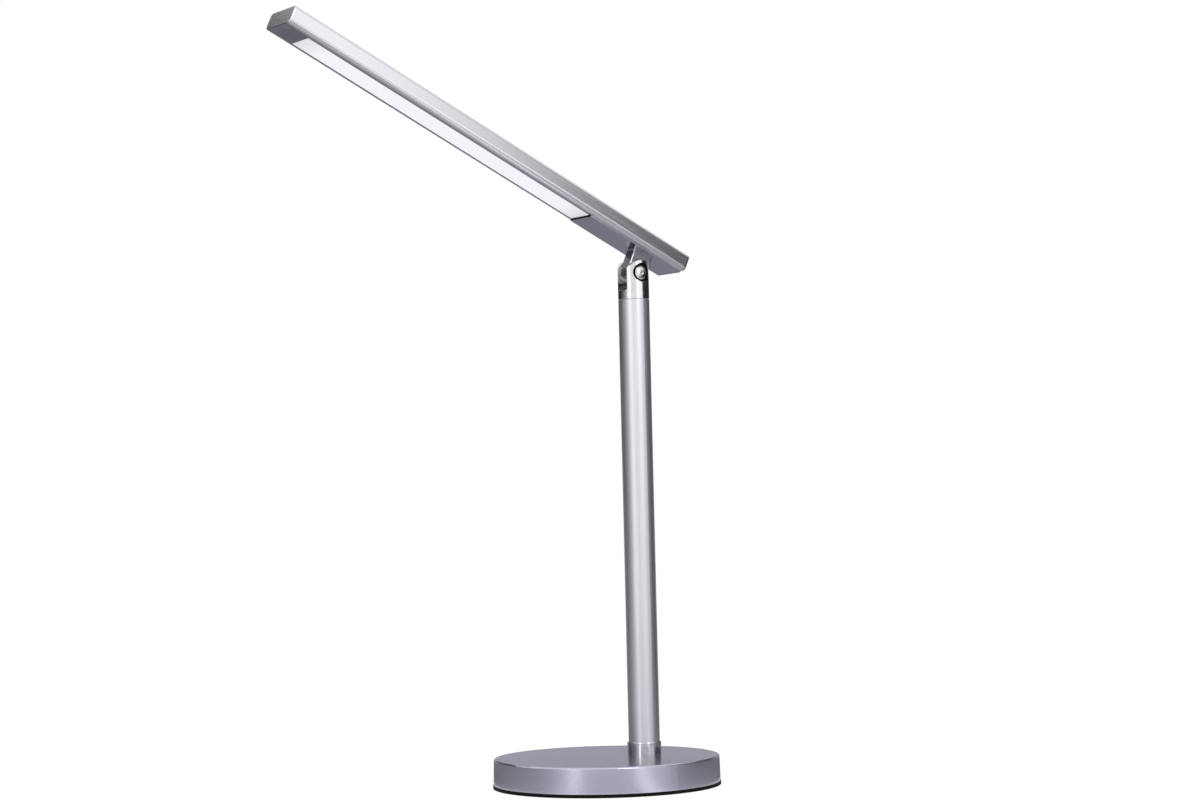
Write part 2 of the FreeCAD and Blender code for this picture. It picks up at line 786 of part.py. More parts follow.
def cut_key(body, crown, back):
    """A hexagon socket in a domed head."""
    corner = d.key_flats * d.hex_corner_share
    flat = d.key_flats / 2
    key = new_sketch(body, "YZ_Plane", crown)
    draw_outline(key, [
        (corner, zero),
        (corner / 2, flat),
        (-corner / 2, flat),
        (-corner, zero),
        (-corner / 2, -flat),
        (corner / 2, -flat),
    ])
    body.Tip = pocket(body, key, d.key_depth, back=back)


def make_hinge_bolt():
    body = new_body("hinge_bolt")
    crown = bolt_seat_x + d.bolt_head_height
    spin(body, [
        (-spot_face_x, zero),
        (crown, zero),
        (bolt_seat_x + d.bolt_head_rim, d.bolt_head_radius, crown - head_dome_radius(), zero, 1),
        (bolt_seat_x, d.bolt_head_radius),
        (bolt_seat_x, d.bolt_radius),
        (-spot_face_x, d.bolt_radius),
    ], "H_Axis")
    cut_key(body, crown, False)
    place(body, y=pole_y, z=pivot_z)


def make_hinge_nut():
    """Sleeve nut: its sleeve lines the far ear, and its domed head takes a hexagon key."""
    body = new_body("hinge_nut")
    seat = -spot_face_x - d.spring_cone - d.spring_thick
    crown = seat - d.bolt_head_height
    thread = d.bolt_radius + d.close_gap
    thread_end = crown + d.key_depth + d.nut_floor
    sleeve_end = -slot_half - d.sleeve_set_back
    spin(body, [
        (crown, zero, crown + head_dome_radius(), zero, 1),
        (thread_end, zero),
        (thread_end, thread),
        (sleeve_end, thread),
        (sleeve_end, d.sleeve_radius),
        (seat, d.sleeve_radius),
        (seat, d.bolt_head_radius),
        (seat - d.bolt_head_rim, d.bolt_head_radius),
    ], "H_Axis")
    cut_key(body, crown, True)
    place(body, y=pole_y, z=pivot_z)


def make_hinge_washers():
    """A flat washer under the bolt's head, a spring washer under the nut and a friction washer by each ear."""
    body = new_body("hinge_bolt_washer")
    inner = d.bolt_radius + d.slide_gap
    outer = d.spot_face_radius - d.slide_gap
    spin(body, rectangle(spot_face_x, bolt_seat_x, inner, outer), "H_Axis")
    place(body, y=pole_y, z=pivot_z)
    body = new_body("hinge_spring_washer")
    seat = -spot_face_x
    inner = d.sleeve_radius + d.slide_gap
    spin(body, [
        (seat, d.bolt_head_radius),
        (seat - d.spring_thick, d.bolt_head_radius),
        (seat - d.spring_thick - d.spring_cone, inner),
        (seat - d.spring_cone, inner),
    ], "H_Axis")
    place(body, y=pole_y, z=pivot_z)
    washers = []
    for name, x in (("near", slot_half - d.friction_thick), ("far", -slot_half)):
        disc = cylinder(f"friction_disc_{name}", d.friction_radius, d.friction_thick,
                        (x, pole_y, pivot_z, along_x))
        hole = cylinder(f"friction_hole_{name}", d.bolt_radius + d.slide_gap, d.friction_thick + d.overrun * 2,
                        (x - d.overrun, pole_y, pivot_z, along_x))
        washers.append(cut_away(f"friction_washer_{name}", disc, [hole]))
    group("hinge_friction_washers", washers)


def make_hinge_tongue():
    """A thick eye that widens into the bar's underside, keyed into the rear cover by a tenon."""
    body = new_body("hinge_tongue")
    eye = d.eye_radius
    flare = d.tongue_flare
    neck_z = tongue_top_z - flare
    side = new_sketch(body, "YZ_Plane")
    draw_outline(side, [
        (-eye, zero),
        (eye, zero, zero, zero, 1),
        (eye, neck_z),
        (eye + flare, tongue_top_z, eye + flare, neck_z, -1),
        (-eye - flare, tongue_top_z),
        (-eye, neck_z, -eye - flare, neck_z, -1),
    ])
    plate = pad(body, side, d.tongue_thick, both_ways=True)
    face_x = d.tongue_thick / 2
    round_edges(body, plate, d.tongue_edge_radius,
                lambda spot: near(abs(spot.x), face_x) and not near(spot.z, tongue_top_z))
    tenon = new_sketch(body, "XY_Plane", tongue_top_z)
    draw_outline(tenon, rectangle(-tenon_half, tenon_half, tongue_screw_y - d.tenon_half_length,
                                  tongue_screw_y + d.tenon_half_length))
    pad(body, tenon, d.tenon_height)
    pivot = new_sketch(body, "YZ_Plane")
    draw_circle(pivot, d.bolt_radius + d.close_gap)
    pocket(body, pivot, d.tongue_thick + d.overrun, both_ways=True)
    drill = new_sketch(body, "XY_Plane", tongue_top_z + d.tenon_height)
    draw_circle(drill, d.tongue_screw_radius + d.close_gap, zero, tongue_screw_y)
    pocket(body, drill, d.tenon_height + d.tongue_screw_grip + d.overrun)
    channel = new_sketch(body, "XY_Plane", tongue_top_z)
    draw_circle(channel, channel_radius, zero, channel_y)
    body.Tip = pocket(body, channel, tongue_top_z + eye)
    place_in_head(body)


def make_tongue_screw():
    low_z = tongue_top_z - d.tongue_screw_grip
    head = cylinder("tongue_screw_head", d.tongue_screw_head_radius, d.tongue_screw_head_height,
                    (zero, tongue_screw_y, flange_top_z))
    shank = cylinder("tongue_screw_shank", d.tongue_screw_radius, flange_top_z - low_z,
                     (zero, tongue_screw_y, low_z))
    place_in_head(keep(fuse("tongue_screw", [head, shank]), "tongue_screw"))


# Light bar, drawn level: its section stands on the XZ plane and runs along Y

def bar_outline():
    low = d.head_low_radius
    top = d.head_top_radius
    return [
        (flat_half, under_z),
        (bar_half, under_z + low, flat_half, under_z + low, 1),
        (bar_half, bar_top_z - top),
        (bar_half - top, bar_top_z, bar_half - top, bar_top_z - top, 1),
        (top - bar_half, bar_top_z),
        (-bar_half, bar_top_z - top, top - bar_half, bar_top_z - top, 1),
        (-bar_half, under_z + low),
        (-flat_half, under_z, -flat_half, under_z + low, 1),
    ]


def channel_outline():
    """The extrusion's open channel, from its left rim up and over to its right rim."""
    rail_half = groove_half - d.rail_depth
    rim_z = under_z + d.rim_thick
    right = [
        (cavity_half, roof_z),
        (cavity_half, rail_top_z),
        (rail_half, rail_top_z),
        (rail_half, groove_top_z),
        (groove_half, groove_top_z),
        (groove_half, rim_z),
        (open_half, rim_z),
        (open_half, under_z),
    ]
    return [(-across, up) for across, up in reversed(right)] + right


def strip_outline():
    """Section of what slides in the channel's groove: a strip with a flange on each side."""
    flange = strip_half + d.strip_lip
    return [
        (-strip_half, under_z),
        (strip_half, under_z),
        (strip_half, flange_low_z),
        (flange, flange_low_z),
        (flange, flange_top_z),
        (-flange, flange_top_z),
        (-flange, flange_low_z),
        (-strip_half, flange_low_z),
    ]


def run_along(body, steps, back_y, front_y):
    sketch = new_sketch(body, "XZ_Plane", -back_y)
    draw_outline(sketch, steps)
    return pad(body, sketch, back_y - front_y)


def make_head_housing():
    body = new_body("head_housing")
    run_along(body, bar_outline() + channel_outline(), tail_y, tip_y)
    place_in_head(body)


def make_end_cap(label, back_y, front_y, end_y, edge, spigot_back_y, spigot_front_y):
    """A cap with the bar's outline, rounded at its end, and a spigot in the bar's cavity."""
    body = new_body(label)
    cap = run_along(body, bar_outline(), back_y, front_y)
    round_edges(body, cap, edge, lambda spot: near(spot.y, end_y))
    half = cavity_half - d.slide_gap
    spigot = rectangle(-half, half, rail_top_z + d.slide_gap, roof_z - d.slide_gap)
    body.Tip = run_along(body, spigot, spigot_back_y, spigot_front_y)
    place_in_head(body)


def make_end_caps():
    length = d.cap_spigot_length
    make_end_cap("tip_cap", tip_y, -d.head_reach, -d.head_reach, tip_edge, tip_y + length, tip_y)
    make_end_cap("tail_cap", d.head_back, tail_y, d.head_back, tail_edge, tail_y, tail_y - length)


def make_strip(label, back_y, front_y):
    body = new_body(label)
    run_along(body, strip_outline(), back_y, front_y)
    place_in_head(body)


def make_diffuser_seal():
    """A soft strip between the diffuser's end and the rear cover."""
    body = new_body("diffuser_seal")
    block = rectangle(-strip_half, strip_half, tongue_top_z, flange_top_z)
    run_along(body, block, -d.rear_cover_reach, diffuser_back_y)
    place_in_head(body)


def make_rear_cover():
    """A strip that fills the channel's tail end, on a plate that lies under the bar."""
    body = new_body("rear_cover")
    plate = rectangle(-flat_half, flat_half, tongue_top_z, under_z)
    run_along(body, plate, d.head_back - tail_edge, -d.rear_cover_reach)
    run_along(body, strip_outline(), tail_y, -d.rear_cover_reach)
    thick = flange_top_z - tongue_top_z
    mortise = new_sketch(body, "XY_Plane", tongue_top_z)
    mortise_half = tenon_half + d.slide_gap
    mortise_length = d.tenon_half_length + d.slide_gap
    draw_outline(mortise, rectangle(-mortise_half, mortise_half, tongue_screw_y - mortise_length,
                                    tongue_screw_y + mortise_length))
    pocket(body, mortise, d.tenon_height + d.slide_gap, back=True)
    drill = new_sketch(body, "XY_Plane", flange_top_z)
    draw_circle(drill, d.tongue_screw_radius + d.slide_gap, zero, tongue_screw_y)
    pocket(body, drill, thick + d.overrun)
    channel = new_sketch(body, "XY_Plane", flange_top_z)
    draw_circle(channel, channel_radius, zero, channel_y)
    body.Tip = pocket(body, channel, thick + d.overrun)
    place_in_head(body)


# Light source

def make_light_source():
    """A metal-core board taped under the bar's roof, with a row of LEDs facing down."""
    length = led_board_back_y - led_board_front_y
    left_x = -d.led_board_width / 2
    board = box("led_board_slab", (left_x, led_board_front_y, led_board_z),
                (d.led_board_width, length, d.led_board_thick))
    place_in_head(group("led_board", [board]))
    tape = box("tape_strip", (left_x, led_board_front_y, led_board_z + d.led_board_thick),
               (d.led_board_width, length, d.tape_thick))
    place_in_head(group("thermal_tape", [tape]))
    pitch = (length - d.led_margin * 2) / (d.led_count.value - 1)
    chips = []
    for number in range(d.led_count.value):
        y = led_board_front_y + d.led_margin + pitch * number - d.led_length / 2
        low = (-d.led_width / 2, y, led_board_z - d.led_height)
        chips.append(box(f"led_{number}", low, (d.led_width, d.led_length, d.led_height)))
    place_in_head(group("leds", chips))


# Leads

def make_lead(label, points):
    """A round lead along straight runs, with an arc at each corner."""
    bend = d.lead_bend.value
    spots = [FreeCAD.Vector(*(size.value for size in point)) for point in points]
    edges = []
    start = spots[0]
    for before, corner, after in zip(spots, spots[1:], spots[2:]):
        back = (before - corner).normalize()
        ahead = (after - corner).normalize()
        half_turn = (math.pi - back.getAngle(ahead)) / 2
        tangent = bend * math.tan(half_turn)
        middle = corner + (back + ahead).normalize() * (bend / math.cos(half_turn) - bend)
        edges.append(Part.LineSegment(start, corner + back * tangent).toShape())
        edges.append(Part.Arc(corner + back * tangent, middle, corner + ahead * tangent).toShape())
        start = corner + ahead * tangent
    edges.append(Part.LineSegment(start, spots[-1]).toShape())
    ring = Part.Wire(Part.makeCircle(d.lead_radius.value, spots[0], spots[1] - spots[0]))
    lead = doc.addObject("Part::Feature", label)
    lead.Shape = Part.Wire(edges).makePipeShell([ring], True, False)
    return keep(lead, label)


def make_leads():
    make_lead("supply_lead", [
        (zero, socket_y - d.socket_length, lead_z),
        (zero, window_back_y, lead_z),
        (supply_x, pole_y + d.nipple_radius, lead_z),
        (supply_x, board_back_y, lead_z),
    ])
    make_lead("pole_lead", [
        (zero, board_back_y, lead_z),
        (zero, pole_y, lead_z),
        (zero, pole_y, slot_floor_z),
    ])
    mouth = channel_y + channel_radius
    mouth_z = -(d.eye_radius * d.eye_radius - mouth * mouth).root()
    place_in_head(make_lead("head_lead", [
        (zero, led_board_back_y, led_board_z),
        (zero, channel_y, led_board_z),
        (zero, channel_y, mouth_z),
    ]))


def check_document():
    """No object may have failed, and no cut may have missed its solid."""
    for thing in doc.Objects:
        if "Invalid" in thing.State or "Error" in thing.State:
            raise RuntimeError(f"{thing.Name} failed: {thing.State}")
        if thing.TypeId == "PartDesign::Pocket" and thing.Shape.Volume >= thing.BaseFeature.Shape.Volume:
            raise RuntimeError(f"{thing.Name} cuts nothing")
    for thing in sub_parts:
        if thing.Shape.isNull() or not thing.Shape.isValid():
            raise RuntimeError(f"{thing.Label} has no valid shape")


make_foot_pad()
make_base_cover()
make_base_weight()
make_base_plate()
make_control_board()
make_board_components()
make_touch_spring()
make_dc_socket()
make_pole()
make_pole_collar()
make_pole_clamp()
make_hinge_fork()
make_hinge_bolt()
make_hinge_nut()
make_hinge_washers()
make_hinge_tongue()
make_tongue_screw()
make_head_housing()
make_end_caps()
make_strip("diffuser", diffuser_back_y, diffuser_front_y)
make_strip("tip_cover", diffuser_front_y - d.slide_gap, tip_y)
make_diffuser_seal()
make_rear_cover()
make_light_source()
make_leads()
doc.recompute()
check_document()

os.makedirs("parts", exist_ok=True)
for thing in sub_parts:
    thing.Shape.exportStep(f"parts/{thing.Label}.step")
    print(f"{thing.Label}: {len(thing.Shape.Solids)} solids, {thing.Shape.Volume:.1f} mm3")
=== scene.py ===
import json
import math
import bmesh
import bpy
from mathutils import Matrix, Vector


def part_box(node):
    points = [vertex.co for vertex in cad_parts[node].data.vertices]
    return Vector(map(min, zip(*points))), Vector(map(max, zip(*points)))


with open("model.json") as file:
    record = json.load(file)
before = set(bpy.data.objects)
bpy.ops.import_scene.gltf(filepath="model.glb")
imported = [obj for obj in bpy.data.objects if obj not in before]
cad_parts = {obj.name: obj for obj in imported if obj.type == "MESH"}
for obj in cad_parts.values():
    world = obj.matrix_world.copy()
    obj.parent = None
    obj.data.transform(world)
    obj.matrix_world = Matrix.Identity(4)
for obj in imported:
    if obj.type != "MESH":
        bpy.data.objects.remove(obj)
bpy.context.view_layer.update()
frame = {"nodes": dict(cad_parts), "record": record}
scene = bpy.context.scene
mm = 0.001
print("frame loaded:", len(frame["nodes"]), "nodes")


# Small helpers

def hexColour(code):
    # sRGB hex to the linear colour that a shader takes
    channels = [int(code[i:i + 2], 16) / 255 for i in (1, 3, 5)]
    linear = [c / 12.92 if c <= 0.04045 else ((c + 0.055) / 1.055) ** 2.4 for c in channels]
    return (*linear, 1.0)


def addNode(tree, kind, inputs, **settings):
    # a value in inputs is either a socket to link or a plain number or colour
    node = tree.nodes.new(kind)
    for name, value in settings.items():
        setattr(node, name, value)
    for name, value in inputs.items():
        if isinstance(value, bpy.types.NodeSocket):
            tree.links.new(value, node.inputs[name])
        else:
            node.inputs[name].default_value = value
    return node


def newMaterial(name):
    material = bpy.data.materials.new(name)
    material.use_nodes = True
    tree = material.node_tree
    tree.nodes.clear()
    return material, tree


def setStops(ramp, stops):
    # the two stops that a new ramp has are used first
    elements = ramp.color_ramp.elements
    while len(elements) < len(stops):
        elements.new(1.0)
    for element, (place, code) in zip(elements, stops):
        element.position = place
        element.color = hexColour(code)


def setSurface(tree, shader):
    addNode(tree, "ShaderNodeOutputMaterial", {"Surface": shader.outputs[0]})


def makeObject(name, shape, material):
    mesh = bpy.data.meshes.new(name)
    shape.to_mesh(mesh)
    shape.free()
    mesh.materials.append(material)
    piece = bpy.data.objects.new(name, mesh)
    scene.collection.objects.link(piece)
    return piece


def aroundLamp(azimuth, distance, height):
    # azimuth 0 is straight ahead of the light bar, and 90 is the side that the photo shows
    turn = math.radians(azimuth)
    return Vector((math.sin(turn) * distance, -math.cos(turn) * distance, height))


# Camera, where the photo was taken from

shot = {
    "azimuth": 53.19,           # degrees, as the other angles
    "distance": 1612.455 * mm,
    "height": 175.026 * mm,
    "yaw": -0.04,
    "pitch": 2.88,
    "roll": -1.33,
    "focalPixels": 2411.46,
    "frameWidth": 1200,         # pixels
    "sensor": 36.0,             # the camera takes it in millimetres
    "clipStart": 50 * mm,
}


def makeCamera():
    turn = math.radians(shot["azimuth"] + shot["yaw"])
    pitch = math.radians(shot["pitch"])
    roll = math.radians(shot["roll"])
    level = Vector((-math.sin(turn), math.cos(turn), 0))
    side = Vector((math.cos(turn), math.sin(turn), 0))
    up = Vector((0, 0, 1))
    ahead = level * math.cos(pitch) + up * math.sin(pitch)
    above = up * math.cos(pitch) - level * math.sin(pitch)
    right = side * math.cos(roll) + above * math.sin(roll)
    above = above * math.cos(roll) - side * math.sin(roll)
    data = bpy.data.cameras.new("photoCamera")
    data.sensor_width = shot["sensor"]
    data.lens = shot["sensor"] * shot["focalPixels"] / shot["frameWidth"]
    data.clip_start = shot["clipStart"]
    camera = bpy.data.objects.new("photoCamera", data)
    scene.collection.objects.link(camera)
    camera.matrix_world = Matrix((
        (right.x, above.x, -ahead.x, 0),
        (right.y, above.y, -ahead.y, 0),
        (right.z, above.z, -ahead.z, 0),
        (0, 0, 0, 1),
    ))
    camera.location = aroundLamp(shot["azimuth"], shot["distance"], shot["height"])
    scene.camera = camera


# Studio: lengths in metres, angles in degrees round from the camera

studio = {
    "floorSize": 12.0,
    "floorDrop": 0.2 * mm,      # just below the foot pad, so that no two faces share a plane
    "floorColour": "#A8A8A8",
    "floorGlow": 0.80,          # seen by the camera and in gloss, so the floor reads as white paper
    "airColour": "#FFFFFF",
    "airLight": 0.55,           # what falls on matt surfaces
    "airSeen": 1.0,             # what the camera and gloss see
    "aimHeight": 0.25,          # the softboxes point at this height on the pole
    "cardSteps": 64,
}


def seenWhite(tree):
    # 1 for rays from the camera, in reflections and through clear pieces
    path = addNode(tree, "ShaderNodeLightPath", {})
    first = addNode(tree, "ShaderNodeMath", {
        0: path.outputs["Is Camera Ray"], 1: path.outputs["Is Glossy Ray"],
    }, operation="MAXIMUM")
    both = addNode(tree, "ShaderNodeMath", {
        0: first.outputs[0], 1: path.outputs["Is Transmission Ray"],
    }, operation="MAXIMUM")
    return both.outputs[0]


def makeWorld():
    world = bpy.data.worlds.new("studioAir")
    world.use_nodes = True
    tree = world.node_tree
    tree.nodes.clear()
    colour = hexColour(studio["airColour"])
    light = addNode(tree, "ShaderNodeBackground", {"Color": colour, "Strength": studio["airLight"]})
    white = addNode(tree, "ShaderNodeBackground", {"Color": colour, "Strength": studio["airSeen"]})
    mix = addNode(tree, "ShaderNodeMixShader", {
        0: seenWhite(tree), 1: light.outputs[0], 2: white.outputs[0],
    })
    addNode(tree, "ShaderNodeOutputWorld", {"Surface": mix.outputs[0]})
    scene.world = world


def makeFloor():
    material, tree = newMaterial("whitePaper")
    paper = addNode(tree, "ShaderNodeBsdfDiffuse", {"Color": hexColour(studio["floorColour"])})
    strength = addNode(tree, "ShaderNodeMath", {
        0: seenWhite(tree), 1: studio["floorGlow"],
    }, operation="MULTIPLY")
    glow = addNode(tree, "ShaderNodeEmission", {"Strength": strength.outputs[0]})
    both = addNode(tree, "ShaderNodeAddShader", {0: paper.outputs[0], 1: glow.outputs[0]})
    setSurface(tree, both)
    shape = bmesh.new()
    bmesh.ops.create_grid(shape, x_segments=1, y_segments=1, size=studio["floorSize"] / 2)
    bmesh.ops.translate(shape, verts=shape.verts, vec=(0, 0, -studio["floorDrop"]))
    floor = makeObject("floor", shape, material)


# Cards stand round the lamp or lie on the floor. Where two meet, they share one of these edges
wallDistance = 1.5
sideTop = 0.64
upperTop = 1.05
nearRim = 0.28
midRim = 0.68
tableHeight = 0.4 * mm
rearHeight = 0.6 * mm           # the rear card lies on the others

cards = {                       # profile is distance and height, tones are angles, power scales the tones
    "sideCard": {
        "profile": ((wallDistance, 0.0), (wallDistance, sideTop)),
        "power": 1.5,
        "tones": (
            (50, "#D5D5D5"), (57, "#FFFFFF"), (65, "#E4E4E4"), (73, "#303032"), (100, "#242426"),
            (240, "#262628"), (270, "#4E4E50"), (300, "#929294"), (312, "#D5D5D5"),
        ),
    },
    "upperCard": {
        "profile": ((wallDistance, sideTop), (wallDistance, upperTop)),
        "power": 1.5,
        "tones": (
            (54, "#D5D5D5"), (60, "#FFFFFF"), (65, "#E4E4E4"), (78, "#767678"), (84, "#242426"),
            (138, "#242426"), (146, "#767678"), (200, "#767678"), (210, "#343436"), (252, "#343436"),
            (280, "#7A7A7C"), (300, "#C0C0C0"), (310, "#D5D5D5"),
        ),
    },
    "tipCard": {                # keeps the tip cap grey
        "profile": ((wallDistance, upperTop), (wallDistance, 1.36)),
        "power": 1.0,
        "tones": ((205, "#404042"), (255, "#404042")),
    },
    "rearTable": {
        "profile": ((0.2, rearHeight), (1.45, rearHeight)),
        "power": 1.0,
        "tones": ((146, "#8C8C90"), (152, "#FFFFFF"), (178, "#FFFFFF"), (184, "#8C8C90")),
    },
    "nearTable": {              # two light patches give the base its highlights
        "profile": ((0.09, tableHeight), (nearRim, tableHeight)),
        "power": 1.5,
        "tones": (
            (0, "#9C9C9E"), (20, "#A0A0A2"), (30, "#FFFFFF"), (41, "#A0A0A2"), (75, "#8A8A8B"),
            (110, "#7E7E82"), (250, "#7E7E82"), (285, "#8A8A8B"), (320, "#A0A0A2"), (331, "#C4C4C4"),
            (341, "#A0A0A2"), (360, "#9C9C9E"),
        ),
    },
    "midTable": {
        "profile": ((nearRim, tableHeight), (midRim, tableHeight)),
        "power": 1.5,
        "tones": (
            (0, "#9C9C9E"), (20, "#A0A0A2"), (30, "#FFFFFF"), (41, "#A0A0A2"), (75, "#8A8A8B"),
            (88, "#4A4A4E"), (136, "#4A4A4E"), (150, "#7E7E82"), (250, "#7E7E82"), (285, "#8A8A8B"),
            (320, "#A0A0A2"), (331, "#C4C4C4"), (341, "#A0A0A2"), (360, "#9C9C9E"),
        ),
    },
    "farTable": {
        "profile": ((midRim, tableHeight), (wallDistance, tableHeight)),
        "power": 1.0,
        "tones": (
            (40, "#F4F4F4"), (70, "#8C8C8E"), (88, "#3A3A3E"), (136, "#3A3A3E"), (146, "#707074"),
            (250, "#707074"), (290, "#8C8C8E"), (320, "#F4F4F4"),
        ),
    },
    "backCard": {               # lights the top of the base
        "profile": ((1.4, 0.0), (1.4, 0.28)),
        "power": 1.0,
        "tones": ((130, "#6A6A70"), (150, "#EAE8F6"), (210, "#EAE8F6"), (230, "#6A6A70")),
    },
}


def makeCard(name, card):
    # only gloss sees a card: it gives metal its light and dark bands
    material, tree = newMaterial(f"{name}Paper")
    place = addNode(tree, "ShaderNodeTexCoord", {})
    turn = addNode(tree, "ShaderNodeMapping", {
        "Vector": place.outputs["Object"],
        "Rotation": (0, 0, -math.radians(shot["azimuth"] + 90)),    # puts the tones' zero at the camera
    })
    angle = addNode(tree, "ShaderNodeTexGradient", {"Vector": turn.outputs[0]}, gradient_type="RADIAL")
    tone = addNode(tree, "ShaderNodeValToRGB", {"Fac": angle.outputs["Fac"]})
    setStops(tone, [(degrees / 360, code) for degrees, code in card["tones"]])
    setSurface(tree, addNode(tree, "ShaderNodeEmission", {
        "Color": tone.outputs["Color"], "Strength": card["power"],
    }))
    shape = bmesh.new()
    first, last = (card["tones"][i][0] for i in (0, -1))
    sweep = last - first
    ends = [shape.verts.new(aroundLamp(shot["azimuth"] + first, *point)) for point in card["profile"]]
    edge = shape.edges.new(ends)
    bmesh.ops.spin(shape, geom=[*ends, edge], axis=(0, 0, 1), cent=(0, 0, 0),
                   angle=math.radians(sweep), steps=studio["cardSteps"], use_merge=sweep == 360)
    piece = makeObject(name, shape, material)
    piece.visible_camera = False
    piece.visible_diffuse = False
    piece.visible_shadow = False
    piece.visible_transmission = False


softboxes = {                   # power is in watts
    "leftBox": {
        "angle": -31, "distance": 1.7, "height": 0.75,
        "width": 0.36, "tall": 1.5, "power": 4.0,
    },
    "rightBox": {
        "angle": 34, "distance": 1.7, "height": 1.0,
        "width": 0.48, "tall": 1.0, "power": 6.2,
    },
}


def makeSoftbox(name, box):
    data = bpy.data.lights.new(name, "AREA")
    data.shape = "RECTANGLE"
    data.size = box["width"]
    data.size_y = box["tall"]
    data.energy = box["power"]
    lamp = bpy.data.objects.new(name, data)
    lamp.location = aroundLamp(shot["azimuth"] + box["angle"], box["distance"], box["height"])
    aim = Vector((0, 0, studio["aimHeight"])) - lamp.location
    lamp.rotation_euler = aim.to_track_quat("-Z", "Y").to_euler()
    scene.collection.objects.link(lamp)


makeCamera()
makeWorld()
makeFloor()
for name, card in cards.items():
    makeCard(name, card)
for name, box in softboxes.items():
    makeSoftbox(name, box)
scene.view_settings.view_transform = "Standard"
print("studio made")


# Materials

barTilt = 24.6                  # degrees, how far the light bar's length is turned from level
grainRange = (0.3, 0.7)         # most of a pattern's values lie between these
grainDetail = 3.0

